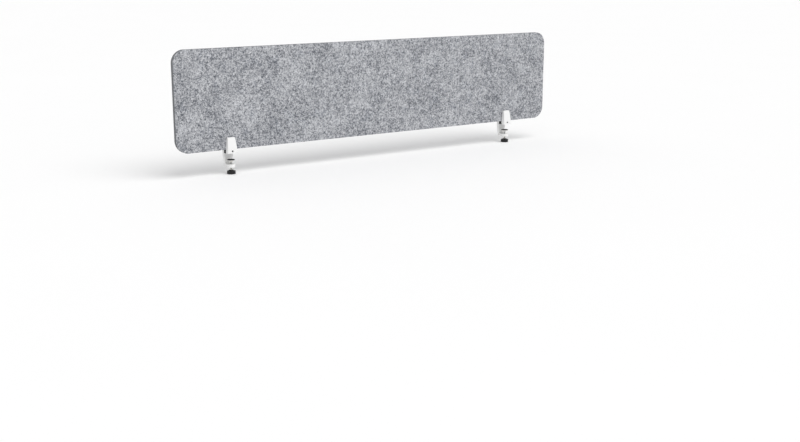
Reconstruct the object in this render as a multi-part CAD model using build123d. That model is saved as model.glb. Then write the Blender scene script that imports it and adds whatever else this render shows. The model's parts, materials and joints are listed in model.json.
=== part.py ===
from build123d import *
import math
import os

# Desk privacy panel: a felt screen that stands along a desktop's rear edge in two screw clamps.
# Millimetres. +X runs along the panel, +Y points rearwards away from the seat, +Z points up.
# The origin lies at the desktop's rear edge, on its upper face, under the panel's middle.

# --- Panel: two felt boards bonded face to face --------------------------------------------
PANEL_LENGTH = 1800.0
PANEL_HEIGHT = 388.0
BOARD_THICKNESS = 9.0
CORNER_RADIUS = 50.0
ARRIS_RADIUS = 1.2
PANEL_LIFT = 14.0  # height of the panel's lower edge over the desktop
PANEL_SETBACK = 3.0  # the panel's rear face stands this far in front of the rear edge

# --- Where the clamps sit and what they grip -----------------------------------------------
CLAMP_INSET = 221.0  # clamp centre to the panel's end
DESK_THICKNESS = 25.0  # desktop gripped at rest
GRIP_OPEN = 10.0  # screw travel that lets a thicker desktop in

# --- Jaws either side of the panel ---------------------------------------------------------
JAW_TOP = 61.5  # top of both jaws over the desktop
JAW_BASE_WIDTH = 40.0
JAW_TOP_WIDTH = 30.0
FRONT_JAW_BASE_DEPTH = 18.0
FRONT_JAW_TOP_DEPTH = 9.0
FRONT_JAW_FOOT_GAP = 0.5  # front jaw's underside over the desktop
REAR_JAW_TOP_DEPTH = 11.2
JAW_EDGE_RADIUS = 1.8
JAW_CORNER_RADIUS = 3.0
JAW_FACE_GAP = 0.3  # jaw faces stand this far off the felt, which only the liners touch

# --- Rubber liners let into the jaws -------------------------------------------------------
LINER_THICKNESS = 1.0
LINER_MARGIN = 4.0  # from the jaw's sides and top
LINER_FOOT = 4.0  # from the panel's lower edge
LINER_CORNER_RADIUS = 3.0

# --- Upper arm, the seat block that saddles it and the pad below it ------------------------
DESK_PAD_THICKNESS = 2.0
DESK_PAD_SETBACK = 0.5  # from the desktop's rear edge
SEAT_THICKNESS = 1.5
SEAT_SIDE = 2.5
SEAT_SETBACK = 3.5  # the casting shows this far between jaw and block
SEAT_EDGE_RADIUS = 1.0
ARM_SETBACK = 1.0  # the upper arm stops this far behind the panel's front face

# --- Spine and lower arm -------------------------------------------------------------------
SPINE_THICKNESS = 13.0
LOWER_ARM_THICKNESS = 12.0
LOWER_ARM_WIDTH = 32.0
INNER_CORNER_RADIUS = 4.0
OUTER_CORNER_RADIUS = 14.0
CASTING_EDGE_RADIUS = 1.5

# --- Jaw bolt, M4 socket head, and the two dowels that keep the jaw square -----------------
BOLT_DIAMETER = 4.0
BOLT_LENGTH = 25.0  # under the head
BOLT_DROP = 3.5  # axis below the top of the upper arm
BOLT_HEAD_DIAMETER = 7.0
BOLT_HEAD_HEIGHT = 4.0
BOLT_HEAD_DEPTH = 3.0  # head's face below the jaw's front face
BOLT_KEY_WIDTH = 3.0  # across flats
BOLT_KEY_DEPTH = 2.2
BOLT_END_GAP = 2.0  # threaded hole goes on past the bolt's tip
BOLT_HEAD_CHAMFER = 0.3
HEAD_CLEARANCE = 0.2
DOWEL_DIAMETER = 4.0
DOWEL_SPACING = 22.0
DOWEL_IN_ARM = 10.0
DOWEL_IN_JAW = 11.0
DOWEL_END_GAP = 0.5
PIN_CHAMFER = 0.4

# --- Clamp screw, M8, with a swivelling foot -----------------------------------------------
SCREW_DIAMETER = 8.0
JOURNAL_DIAMETER = 6.0
JOURNAL_TIP = 0.8  # journal past the clip
JOURNAL_TIP_GAP = 0.3  # from there to the pad
GRIP_CLOSE = 10.0  # screw travel that grips a thinner desktop
FOOT_DIAMETER = 30.0
FOOT_PAD_THICKNESS = 1.5
FOOT_PLATE_THICKNESS = 2.5
FOOT_HUB_DIAMETER = 14.0
FOOT_HUB_HEIGHT = 4.0
FOOT_EDGE_RADIUS = 0.6
FOOT_SPINE_GAP = 1.0  # from the foot's rim to the rounded corner of spine and lower arm
CLIP_THICKNESS = 0.7
CLIP_GROOVE_DEPTH = 0.5
CLIP_OUTER_DIAMETER = 9.0
CLIP_MOUTH = 3.0
CLIP_RIM_GAP = 1.5  # around the clip in its pocket
STOP_GAP = 0.5  # left at both ends of the screw's travel

# --- Knob ----------------------------------------------------------------------------------
KNOB_DIAMETER = 34.0
KNOB_GRIP_HEIGHT = 12.0
KNOB_COLLAR_DIAMETER = 18.0
KNOB_COLLAR_HEIGHT = 3.0
KNOB_FLUTES = 8
KNOB_FLUTE_RADIUS = 4.5
KNOB_FLUTE_DEPTH = 1.8
KNOB_EDGE_RADIUS = 1.2
KNOB_FLOOR = 3.0  # below the screw's end

# --- Fits ----------------------------------------------------------------------------------
RUNNING_CLEARANCE = 0.08  # radial, for threads, dowels and the journal
CLIP_CLEARANCE = 0.1  # under the clip

SHARP_ANGLE = 20.0  # faces that meet at less than this run on smoothly

# --- Places that follow from the sizes above -----------------------------------------------
PANEL_BACK = -PANEL_SETBACK
PANEL_JOINT = PANEL_BACK - BOARD_THICKNESS
PANEL_FRONT = PANEL_JOINT - BOARD_THICKNESS
CLAMP_CENTRE = PANEL_LENGTH / 2 - CLAMP_INSET

REAR_JAW_FACE = PANEL_BACK + JAW_FACE_GAP
FRONT_JAW_FACE = PANEL_FRONT - JAW_FACE_GAP
FRONT_JAW_NOSE = FRONT_JAW_FACE - FRONT_JAW_BASE_DEPTH
ARM_FRONT = PANEL_FRONT + ARM_SETBACK
ARM_TOP = PANEL_LIFT - SEAT_THICKNESS
ARM_MIDDLE = (DESK_PAD_THICKNESS + ARM_TOP) / 2
ARM_WIDTH = JAW_BASE_WIDTH - 2 * SEAT_SIDE
BOLT_HEIGHT = ARM_TOP - BOLT_DROP

HEAD_FACE = FRONT_JAW_NOSE + BOLT_HEAD_DEPTH
HEAD_SEAT = HEAD_FACE + BOLT_HEAD_HEIGHT
BOLT_TIP = HEAD_SEAT + BOLT_LENGTH
DOWEL_PLACES = (-DOWEL_SPACING / 2, DOWEL_SPACING / 2)

SCREW_REACH = FOOT_DIAMETER / 2 + FOOT_SPINE_GAP + INNER_CORNER_RADIUS
FOOT_TOP = -DESK_THICKNESS
PLATE_TOP = FOOT_TOP - FOOT_PAD_THICKNESS
PLATE_BOTTOM = PLATE_TOP - FOOT_PLATE_THICKNESS
HUB_BOTTOM = PLATE_BOTTOM - FOOT_HUB_HEIGHT
LOWER_ARM_TOP = HUB_BOTTOM - GRIP_OPEN - STOP_GAP
LOWER_ARM_BOTTOM = LOWER_ARM_TOP - LOWER_ARM_THICKNESS
KNOB_TOP = LOWER_ARM_BOTTOM - GRIP_CLOSE - STOP_GAP
KNOB_SHOULDER = KNOB_TOP - KNOB_COLLAR_HEIGHT
KNOB_BOTTOM = KNOB_SHOULDER - KNOB_GRIP_HEIGHT
SCREW_END = KNOB_BOTTOM + KNOB_FLOOR
CLIP_TOP = PLATE_TOP - JOURNAL_TIP_GAP - JOURNAL_TIP
CLIP_BOTTOM = CLIP_TOP - CLIP_THICKNESS
CLIP_POCKET_FLOOR = CLIP_BOTTOM - CLIP_CLEARANCE
GROOVE_DIAMETER = JOURNAL_DIAMETER - 2 * CLIP_GROOVE_DEPTH


def box_between(x, y, z):
    """A box from three (low, high) pairs."""
    size = [high - low for low, high in (x, y, z)]
    middle = [(low + high) / 2 for low, high in (x, y, z)]
    return Pos(*middle) * Box(*size)


def upright(diameter, low, high):
    """A vertical cylinder on the clamp screw's axis."""
    return Pos(0, -SCREW_REACH, (low + high) / 2) * Cylinder(diameter / 2, high - low)


def level(diameter, front, rear, x, z):
    """A cylinder along Y at the given place."""
    return Pos(x, (front + rear) / 2, z) * Rot(90, 0, 0) * Cylinder(diameter / 2, rear - front)


def lean(rise, run, height):
    """Sideways move, at a height, of an arc that starts upright and leans by run over rise."""
    radius = (rise**2 + run**2) / (2 * run)
    return radius - math.sqrt(radius**2 - height**2)


def crease_angle(solid, edge):
    """Degrees between the two faces that meet at an edge; 0 where they run on smoothly."""
    middle = edge.position_at(0.5)
    sides = [f for f in solid.faces() if any(other.is_same(edge) for other in f.edges())]
    if len(sides) != 2:
        return 0
    return sides[0].normal_at(middle).get_angle(sides[1].normal_at(middle))


def round_over(solid, chosen, radius):
    """Round the sharp edges whose middle point passes the chosen test."""
    edges = [e for e in solid.edges() if chosen(e.position_at(0.5))]
    return fillet([e for e in edges if crease_angle(solid, e) > SHARP_ANGLE], radius)


# --- Panel ---------------------------------------------------------------------------------
def felt_board(front, outer_face):
    """One board: a long sheet with round corners and a softened outer arris."""
    outline = Plane.XZ * Pos(0, PANEL_LIFT + PANEL_HEIGHT / 2) * RectangleRounded(
        PANEL_LENGTH, PANEL_HEIGHT, CORNER_RADIUS
    )
    board = Pos(0, front, 0) * extrude(outline, amount=-BOARD_THICKNESS)
    return fillet(board.faces().sort_by(Axis.Y)[outer_face].edges(), ARRIS_RADIUS)


# --- Jaws ----------------------------------------------------------------------------------
def jaw_outline(foot, inset=0.0):
    """Front view of a jaw: sides that start upright and lean in, with rounded top corners."""
    rise = JAW_TOP - foot
    half_base = JAW_BASE_WIDTH / 2 - inset
    half_top = JAW_TOP_WIDTH / 2 - inset
    half_middle = half_base - lean(rise, half_base - half_top, rise / 2)
    half_way = (foot + JAW_TOP) / 2
    top = JAW_TOP - inset
    right = ThreePointArc((half_base, foot), (half_middle, half_way), (half_top, top))
    sides = [right, mirror(right, Plane.YZ)]
    ends = [Line((-x, z), (x, z)) for x, z in ((half_base, foot), (half_top, top))]
    return make_face(sides + ends)


def rounded_outline(foot):
    """The same with its top corners rounded."""
    outline = jaw_outline(foot)
    return fillet(outline.vertices().group_by(Axis.Y)[-1], JAW_CORNER_RADIUS)


def jaw_blank(foot, face, base_depth, top_depth, side):
    """A jaw whose flat inner face is at Y=face; side is -1 for the front jaw, 1 for the rear."""
    rise = JAW_TOP - foot
    reach = side * (base_depth + 1)
    slab = Pos(0, face, 0) * extrude(Plane.XZ * rounded_outline(foot), amount=-reach)
    middle = face + side * (base_depth - lean(rise, base_depth - top_depth, rise / 2))
    nose = face + side * base_depth
    tip = face + side * top_depth
    half_way = (foot + JAW_TOP) / 2
    profile = [
        Polyline((nose, foot), (face, foot), (face, JAW_TOP), (tip, JAW_TOP)),
        ThreePointArc((tip, JAW_TOP), (middle, half_way), (nose, foot)),
    ]
    web = extrude(Plane.YZ * make_face(profile), amount=JAW_BASE_WIDTH / 2, both=True)
    return slab & web


def jaw_liner(face, side):
    """A liner that follows the jaw's outline and touches the felt, let into the jaw's face."""
    foot = PANEL_LIFT + LINER_FOOT
    outline = jaw_outline(FRONT_JAW_FOOT_GAP, LINER_MARGIN) - Rectangle(
        JAW_BASE_WIDTH, 2 * foot, align=(Align.CENTER, Align.CENTER)
    )
    outline = fillet(outline.vertices(), LINER_CORNER_RADIUS)
    felt = face + side * -JAW_FACE_GAP
    return Pos(0, felt, 0) * extrude(Plane.XZ * outline, amount=-side * LINER_THICKNESS)


def front_jaw():
    """The jaw in front of the felt, bored for the bolt's head and shank and for the dowels."""
    jaw = jaw_blank(
        FRONT_JAW_FOOT_GAP, FRONT_JAW_FACE, FRONT_JAW_BASE_DEPTH, FRONT_JAW_TOP_DEPTH, -1
    )
    nose_side = FRONT_JAW_FACE - FRONT_JAW_TOP_DEPTH / 2
    jaw = round_over(
        jaw, lambda p: p.Y < nose_side and p.Z > FRONT_JAW_FOOT_GAP + 1, JAW_EDGE_RADIUS
    )
    jaw -= jaw_liner(FRONT_JAW_FACE, -1)
    jaw -= level(
        BOLT_HEAD_DIAMETER + 2 * HEAD_CLEARANCE, FRONT_JAW_NOSE - 1, HEAD_SEAT, 0, BOLT_HEIGHT
    )
    jaw -= level(
        BOLT_DIAMETER + 2 * RUNNING_CLEARANCE, HEAD_SEAT - 1, FRONT_JAW_FACE + 1, 0, BOLT_HEIGHT
    )
    for x in DOWEL_PLACES:
        jaw -= level(
            DOWEL_DIAMETER + 2 * RUNNING_CLEARANCE,
            FRONT_JAW_FACE - DOWEL_IN_JAW - DOWEL_END_GAP,
            FRONT_JAW_FACE + 1,
            x,
            ARM_MIDDLE,
        )
    return jaw


def casting_blank():
    """Rear jaw, spine and lower arm as one bent bar, before its edges are rounded."""
    reach = SCREW_REACH + LOWER_ARM_WIDTH / 2
    rise = JAW_TOP - DESK_PAD_THICKNESS
    base_depth = SPINE_THICKNESS - REAR_JAW_FACE
    middle = SPINE_THICKNESS - lean(rise, base_depth - REAR_JAW_TOP_DEPTH, rise / 2)
    tip = REAR_JAW_FACE + REAR_JAW_TOP_DEPTH
    half_way = (DESK_PAD_THICKNESS + JAW_TOP) / 2
    outer_corner = (SPINE_THICKNESS, LOWER_ARM_BOTTOM)
    inner_corner = (0, LOWER_ARM_TOP)
    profile = [
        Polyline(
            (SPINE_THICKNESS, DESK_PAD_THICKNESS),
            outer_corner,
            (-reach, LOWER_ARM_BOTTOM),
            (-reach, LOWER_ARM_TOP),
            inner_corner,
            (0, DESK_PAD_THICKNESS),
            (REAR_JAW_FACE, DESK_PAD_THICKNESS),
            (REAR_JAW_FACE, JAW_TOP),
            (tip, JAW_TOP),
        ),
        ThreePointArc(
            (tip, JAW_TOP), (middle, half_way), (SPINE_THICKNESS, DESK_PAD_THICKNESS)
        ),
    ]
    side_view = make_face(profile)
    for corner, radius in ((inner_corner, INNER_CORNER_RADIUS), (outer_corner, OUTER_CORNER_RADIUS)):
        nearest = side_view.vertices().sort_by_distance((*corner, 0))[0]
        side_view = fillet(nearest, radius)

    waist = LOWER_ARM_WIDTH / 2
    hip = JAW_BASE_WIDTH / 2
    taper = Spline(
        (hip, DESK_PAD_THICKNESS), (waist, LOWER_ARM_TOP), tangents=((0, -1), (0, -1))
    )
    right = Line((waist, LOWER_ARM_TOP), (waist, LOWER_ARM_BOTTOM))
    lower_view = [taper, right, mirror(taper, Plane.YZ), mirror(right, Plane.YZ)]
    lower_view += [Line((-waist, LOWER_ARM_BOTTOM), (waist, LOWER_ARM_BOTTOM))]
    lower_view += [Line((-hip, DESK_PAD_THICKNESS), (hip, DESK_PAD_THICKNESS))]
    front_view = rounded_outline(DESK_PAD_THICKNESS) + make_face(lower_view)

    plan = Circle(waist) + Rectangle(
        JAW_BASE_WIDTH, SCREW_REACH + SPINE_THICKNESS, align=(Align.CENTER, Align.MIN)
    )
    depth = reach + SPINE_THICKNESS
    blank = extrude(Plane.YZ * side_view, amount=hip, both=True)
    blank &= extrude(Plane.XZ * front_view, amount=depth, both=True)
    return blank & extrude(Pos(0, -SCREW_REACH) * plan, amount=JAW_TOP - LOWER_ARM_BOTTOM, both=True)


def clamp_body():
    """The casting with its upper arm, liner pocket, threaded holes and dowel holes."""
    body = round_over(
        casting_blank(),
        lambda p: p.Y > SPINE_THICKNESS / 4 or p.Z < LOWER_ARM_TOP + 1,
        CASTING_EDGE_RADIUS,
    )
    half_arm = ARM_WIDTH / 2
    body += box_between(
        (-half_arm, half_arm), (ARM_FRONT, SPINE_THICKNESS / 2), (DESK_PAD_THICKNESS, ARM_TOP)
    )
    body -= jaw_liner(REAR_JAW_FACE, 1)
    body -= level(
        BOLT_DIAMETER + 2 * RUNNING_CLEARANCE, ARM_FRONT - 1, BOLT_TIP + BOLT_END_GAP, 0, BOLT_HEIGHT
    )
    for x in DOWEL_PLACES:
        body -= level(DOWEL_DIAMETER, ARM_FRONT - 1, ARM_FRONT + DOWEL_IN_ARM, x, ARM_MIDDLE)
    return body - upright(
        SCREW_DIAMETER + 2 * RUNNING_CLEARANCE, LOWER_ARM_BOTTOM - 1, LOWER_ARM_TOP + 1
    )


# --- Pieces under and beside the panel's edge ----------------------------------------------
def seat_block():
    """A saddle over the upper arm: the panel's edge stands on it."""
    half = JAW_BASE_WIDTH / 2
    front = ARM_FRONT + SEAT_SETBACK
    block = box_between((-half, half), (front, REAR_JAW_FACE), (DESK_PAD_THICKNESS, PANEL_LIFT))
    block = fillet(block.edges().filter_by(Axis.Y).group_by(Axis.Z)[-1], SEAT_EDGE_RADIUS)
    half_arm = ARM_WIDTH / 2
    return block - box_between(
        (-half_arm, half_arm), (front, REAR_JAW_FACE), (DESK_PAD_THICKNESS, ARM_TOP)
    )


def desk_pad():
    """The rubber sheet between the upper arm and the desktop."""
    half = JAW_BASE_WIDTH / 2
    pad = box_between((-half, half), (ARM_FRONT, -DESK_PAD_SETBACK), (0, DESK_PAD_THICKNESS))
    return fillet(pad.edges().filter_by(Axis.Z), SEAT_EDGE_RADIUS)


def jaw_bolt():
    """Socket-head bolt through the front jaw into the upper arm."""
    head = level(BOLT_HEAD_DIAMETER, HEAD_FACE, HEAD_SEAT, 0, BOLT_HEIGHT)
    head = chamfer(head.edges().group_by(Axis.Y)[0], BOLT_HEAD_CHAMFER)
    shank = level(BOLT_DIAMETER, HEAD_SEAT, BOLT_TIP, 0, BOLT_HEIGHT)
    shank = chamfer(shank.edges().group_by(Axis.Y)[-1], PIN_CHAMFER)
    socket = Plane.XZ * RegularPolygon(BOLT_KEY_WIDTH / 2, 6, major_radius=False)
    socket = extrude(socket, amount=-BOLT_KEY_DEPTH)
    return head + shank - Pos(0, HEAD_FACE, BOLT_HEIGHT) * socket


def guide_pins():
    """Two dowels pressed into the upper arm, on which the front jaw slides."""
    pins = []
    for x in DOWEL_PLACES:
        front = FRONT_JAW_FACE - DOWEL_IN_JAW
        pin = level(DOWEL_DIAMETER, front, ARM_FRONT + DOWEL_IN_ARM, x, ARM_MIDDLE)
        pins.append(chamfer(pin.edges().filter_by(GeomType.CIRCLE), PIN_CHAMFER))
    return Compound(children=pins)


# --- Clamp screw and foot ------------------------------------------------------------------
def clamp_screw():
    """M8 screw with a journal for the foot and a groove for its clip."""
    screw = upright(SCREW_DIAMETER, SCREW_END, HUB_BOTTOM)
    screw = chamfer(screw.edges().filter_by(GeomType.CIRCLE), PIN_CHAMFER)
    screw += upright(JOURNAL_DIAMETER, HUB_BOTTOM, CLIP_TOP + JOURNAL_TIP)
    groove = upright(JOURNAL_DIAMETER, CLIP_BOTTOM, CLIP_TOP)
    return screw - (groove - upright(GROOVE_DIAMETER, CLIP_BOTTOM, CLIP_TOP))


def screw_clip():
    """The open ring in the journal's groove."""
    ring = upright(CLIP_OUTER_DIAMETER, CLIP_BOTTOM, CLIP_TOP)
    ring -= upright(GROOVE_DIAMETER, CLIP_BOTTOM, CLIP_TOP)
    mouth = (-SCREW_REACH - CLIP_OUTER_DIAMETER, -SCREW_REACH)
    return ring - box_between(
        (-CLIP_MOUTH / 2, CLIP_MOUTH / 2), mouth, (CLIP_BOTTOM, CLIP_TOP)
    )


def pressure_plate():
    """Round foot with a hub that turns on the screw's journal."""
    plate = upright(FOOT_DIAMETER, PLATE_BOTTOM, PLATE_TOP)
    plate = fillet(plate.edges().group_by(Axis.Z)[0], FOOT_EDGE_RADIUS)
    plate += upright(FOOT_HUB_DIAMETER, HUB_BOTTOM, PLATE_BOTTOM)
    plate -= upright(JOURNAL_DIAMETER + 2 * RUNNING_CLEARANCE, HUB_BOTTOM, PLATE_TOP)
    return plate - upright(CLIP_OUTER_DIAMETER + 2 * CLIP_RIM_GAP, CLIP_POCKET_FLOOR, PLATE_TOP)


def pressure_pad():
    """The rubber disc that meets the desktop's underside."""
    pad = upright(FOOT_DIAMETER, PLATE_TOP, FOOT_TOP)
    return fillet(pad.edges().group_by(Axis.Z)[-1], FOOT_EDGE_RADIUS)


def knob():
    """Fluted hand knob with a collar and a socket for the screw."""
    grip = upright(KNOB_DIAMETER, KNOB_BOTTOM, KNOB_SHOULDER)
    flute_circle = KNOB_DIAMETER / 2 - KNOB_FLUTE_DEPTH + KNOB_FLUTE_RADIUS
    for place in PolarLocations(flute_circle, KNOB_FLUTES):
        flute = Cylinder(KNOB_FLUTE_RADIUS, 2 * KNOB_GRIP_HEIGHT)
        grip -= Pos(0, -SCREW_REACH, (KNOB_BOTTOM + KNOB_SHOULDER) / 2) * place * flute
    rims = grip.edges().group_by(Axis.Z)
    grip = fillet(rims[0] + rims[-1], KNOB_EDGE_RADIUS)
    grip += upright(KNOB_COLLAR_DIAMETER, KNOB_SHOULDER, KNOB_TOP)
    return grip - upright(SCREW_DIAMETER, SCREW_END, KNOB_TOP)


# --- Every node ----------------------------------------------------------------------------
def clamp_pieces():
    """One clamp's pieces by name, centred on X=0."""
    return {
        "clamp_body": clamp_body(),
        "front_jaw": front_jaw(),
        "jaw_bolt": jaw_bolt(),
        "guide_pins": guide_pins(),
        "seat_block": seat_block(),
        "desk_pad": desk_pad(),
        "front_jaw_liner": jaw_liner(FRONT_JAW_FACE, -1),
        "rear_jaw_liner": jaw_liner(REAR_JAW_FACE, 1),
        "clamp_screw": clamp_screw(),
        "screw_clip": screw_clip(),
        "pressure_plate": pressure_plate(),
        "pressure_pad": pressure_pad(),
        "knob": knob(),
    }


def main():
    """Write one STEP file per piece."""
    os.makedirs("parts", exist_ok=True)
    nodes = {
        "front_felt_board": felt_board(PANEL_FRONT, 0),
        "rear_felt_board": felt_board(PANEL_JOINT, -1),
    }
    pieces = clamp_pieces()
    for side, x in (("left", -CLAMP_CENTRE), ("right", CLAMP_CENTRE)):
        for name, piece in pieces.items():
            nodes[f"{side}_{name}"] = Pos(x, 0, 0) * piece
    for name, shape in nodes.items():
        export_step(shape, f"parts/{name}.step")


main()
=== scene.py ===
"""Looks of a felt desk privacy panel in its two screw clamps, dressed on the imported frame.

Metres, in the frame's own axes: +X along the panel, +Y rearwards away from the seat, +Z up.
"""

import json
import logging
import math
from abc import ABC, abstractmethod
from dataclasses import dataclass, field
from enum import Enum
from typing import Callable, Iterable

import bmesh
import bpy
from mathutils import Euler, Matrix, Vector, noise

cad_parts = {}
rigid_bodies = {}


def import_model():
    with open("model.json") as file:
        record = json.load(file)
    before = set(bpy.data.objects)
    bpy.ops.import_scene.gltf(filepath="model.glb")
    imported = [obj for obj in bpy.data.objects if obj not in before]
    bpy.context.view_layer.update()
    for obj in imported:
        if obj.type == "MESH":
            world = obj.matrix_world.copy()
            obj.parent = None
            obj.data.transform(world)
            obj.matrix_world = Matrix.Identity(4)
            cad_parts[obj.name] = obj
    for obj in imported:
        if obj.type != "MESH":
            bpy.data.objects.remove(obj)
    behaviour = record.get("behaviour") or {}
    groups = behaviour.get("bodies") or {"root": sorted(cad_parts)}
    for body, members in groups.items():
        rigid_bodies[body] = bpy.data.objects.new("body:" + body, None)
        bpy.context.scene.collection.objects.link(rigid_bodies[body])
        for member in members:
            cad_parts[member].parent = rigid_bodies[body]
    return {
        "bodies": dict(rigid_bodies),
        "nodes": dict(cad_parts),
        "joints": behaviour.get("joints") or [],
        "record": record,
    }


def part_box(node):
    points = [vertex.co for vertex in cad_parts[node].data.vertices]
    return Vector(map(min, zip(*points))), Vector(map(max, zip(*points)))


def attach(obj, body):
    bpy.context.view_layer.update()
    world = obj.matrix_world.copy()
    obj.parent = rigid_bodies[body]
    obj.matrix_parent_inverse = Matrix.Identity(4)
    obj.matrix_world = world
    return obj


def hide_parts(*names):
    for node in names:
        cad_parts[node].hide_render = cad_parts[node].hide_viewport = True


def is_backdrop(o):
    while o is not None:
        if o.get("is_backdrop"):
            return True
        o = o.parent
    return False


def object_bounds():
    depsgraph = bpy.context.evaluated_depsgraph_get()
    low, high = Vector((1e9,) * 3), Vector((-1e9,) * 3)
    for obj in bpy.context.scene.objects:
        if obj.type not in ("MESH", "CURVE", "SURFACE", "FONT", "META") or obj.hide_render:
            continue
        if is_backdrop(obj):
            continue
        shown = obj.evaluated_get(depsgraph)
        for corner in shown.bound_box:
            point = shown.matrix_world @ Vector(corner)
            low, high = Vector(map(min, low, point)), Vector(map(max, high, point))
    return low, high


LOG = logging.getLogger("privacy_panel")

MM = 0.001
WHITE = (1.0, 1.0, 1.0, 1.0)

EDGE_SAMPLES = 6
FLAT_COSINE = 0.995  # between true and softened normal, where an edge starts to show
EDGE_COSINE = 0.8  # and where it shows fully

MERGE_DISTANCE = 0.002 * MM  # points closer than this become one
SLIVER_LENGTH = 0.0005 * MM  # edges shorter than this go
AXIS_RADIUS = 0.01 * MM  # points nearer a turned piece's axis than this stay on it
CORNER_SHARE = 0.49  # of a side, the most that a rounded corner takes

MIX_FACTOR, MIX_BELOW, MIX_ABOVE, MIX_RESULT = 0, 6, 7, 2  # a Mix node's sockets for colours

Colour = tuple[float, float, float, float]
ProfilePoint = tuple[float, float, float]  # radius, height and corner radius, in millimetres
Socket = bpy.types.NodeSocket


class Side(Enum):
    """The two clamps, by the end of the panel that they stand near."""

    LEFT = "left"
    RIGHT = "right"


class Slot(Enum):
    """Material slots of the record."""

    FELT = "felt"
    COAT = "white_coat"
    PLASTIC = "black_plastic"
    RUBBER = "black_rubber"
    BLACK_STEEL = "black_steel"
    ZINC = "zinc_steel"
    SPRING = "spring_steel"


# --- Node sheets ---------------------------------------------------------------------------
class NodeSheet:
    """A material's node tree, with short calls for the nodes that the finishes share."""

    def __init__(self, name: str) -> None:
        """Start an empty sheet with a shader and Object coordinates.

        Args:
            name: The material's name.
        """
        self.material = bpy.data.materials.new(name)
        self.material.use_nodes = True
        self.tree = self.material.node_tree
        self.tree.nodes.clear()
        output = self.tree.nodes.new("ShaderNodeOutputMaterial")
        self.shader = self.tree.nodes.new("ShaderNodeBsdfPrincipled")
        self.tree.links.new(self.shader.outputs["BSDF"], output.inputs["Surface"])
        self.place = self.tree.nodes.new("ShaderNodeTexCoord").outputs["Object"]

    def put(self, socket: Socket, value: Socket | float | Colour | Vector) -> None:
        """Link or set a socket.

        Args:
            socket: The input to feed.
            value: Another node's output, or a plain value.
        """
        if isinstance(value, bpy.types.NodeSocket):
            self.tree.links.new(value, socket)
        else:
            socket.default_value = value

    def warped(self, scale: float, reach: float) -> Socket:
        """Object coordinates, pushed about by a slow noise.

        Args:
            scale: Cells per metre of that noise.
            reach: About how far it pushes, in metres.

        Returns:
            The vector output.
        """
        push = self.tree.nodes.new("ShaderNodeTexNoise")
        self.put(push.inputs["Vector"], self.place)
        push.inputs["Scale"].default_value = scale
        push.inputs["Detail"].default_value = 1.0
        step = self.tree.nodes.new("ShaderNodeVectorMath")
        step.operation = "MULTIPLY_ADD"
        self.put(step.inputs[0], push.outputs["Color"])
        step.inputs[1].default_value = (reach, reach, reach)
        self.put(step.inputs[2], self.place)
        return step.outputs["Vector"]

    def stretched(self, scale: tuple[float, float, float], turn: tuple[float, float, float] = (0, 0, 0),
                  at: Socket | None = None) -> Socket:
        """Coordinates turned and then scaled.

        Args:
            scale: Scale along each axis, per metre.
            turn: Rotation about each axis, in degrees.
            at: A vector to read instead of the object's own coordinates.

        Returns:
            The vector output.
        """
        mapping = self.tree.nodes.new("ShaderNodeMapping")
        mapping.vector_type = "TEXTURE"
        self.put(mapping.inputs["Vector"], at or self.place)
        mapping.inputs["Rotation"].default_value = [math.radians(angle) for angle in turn]
        mapping.inputs["Scale"].default_value = [1.0 / factor for factor in scale]
        return mapping.outputs["Vector"]

    def noise(self, scale: float, detail: float = 2.0, roughness: float = 0.5, curl: float = 0.0,
              at: Socket | None = None) -> Socket:
        """Fractal noise.

        Args:
            scale: Cells per metre, or per unit of the vector that is given.
            detail: Octaves.
            roughness: Weight of each next octave.
            curl: Distortion.
            at: A vector to read instead of the object's own coordinates.

        Returns:
            The factor output, 0 to 1.
        """
        node = self.tree.nodes.new("ShaderNodeTexNoise")
        self.put(node.inputs["Vector"], at or self.place)
        node.inputs["Scale"].default_value = scale
        node.inputs["Detail"].default_value = detail
        node.inputs["Roughness"].default_value = roughness
        node.inputs["Distortion"].default_value = curl
        return node.outputs["Fac"]

    def arithmetic(self, operation: str, first: Socket | float, second: Socket | float) -> Socket:
        """One arithmetic step.

        Args:
            operation: A Math node's operation.
            first: Its first value.
            second: Its second value.

        Returns:
            The value output.
        """
        node = self.tree.nodes.new("ShaderNodeMath")
        node.operation = operation
        self.put(node.inputs[0], first)
        self.put(node.inputs[1], second)
        return node.outputs["Value"]

    def scaled(self, value: Socket, factor: Socket | float) -> Socket:
        """A value times a factor."""
        return self.arithmetic("MULTIPLY", value, factor)

    def total(self, first: Socket, second: Socket | float) -> Socket:
        """The sum of two values."""
        return self.arithmetic("ADD", first, second)

    def span(self, value: Socket, low: float, high: float,
             to_low: float = 0.0, to_high: float = 1.0) -> Socket:
        """Stretch one range over another, smoothly and held at both ends.

        Args:
            value: The value to stretch.
            low: Value that gives to_low.
            high: Value that gives to_high.
            to_low: Result at and below low.
            to_high: Result at and above high.

        Returns:
            The result output.
        """
        node = self.tree.nodes.new("ShaderNodeMapRange")
        node.interpolation_type = "SMOOTHSTEP"
        self.put(node.inputs["Value"], value)
        node.inputs["From Min"].default_value = low
        node.inputs["From Max"].default_value = high
        node.inputs["To Min"].default_value = to_low
        node.inputs["To Max"].default_value = to_high
        return node.outputs["Result"]

    def mix(self, factor: Socket | float, first: Socket | Colour, second: Socket | Colour) -> Socket:
        """Blend two colours.

        Args:
            factor: How much of the second.
            first: The colour below.
            second: The colour above.

        Returns:
            The colour output.
        """
        node = self.tree.nodes.new("ShaderNodeMix")
        node.data_type = "RGBA"
        self.put(node.inputs[MIX_FACTOR], factor)
        self.put(node.inputs[MIX_BELOW], first)
        self.put(node.inputs[MIX_ABOVE], second)
        return node.outputs[MIX_RESULT]

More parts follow.
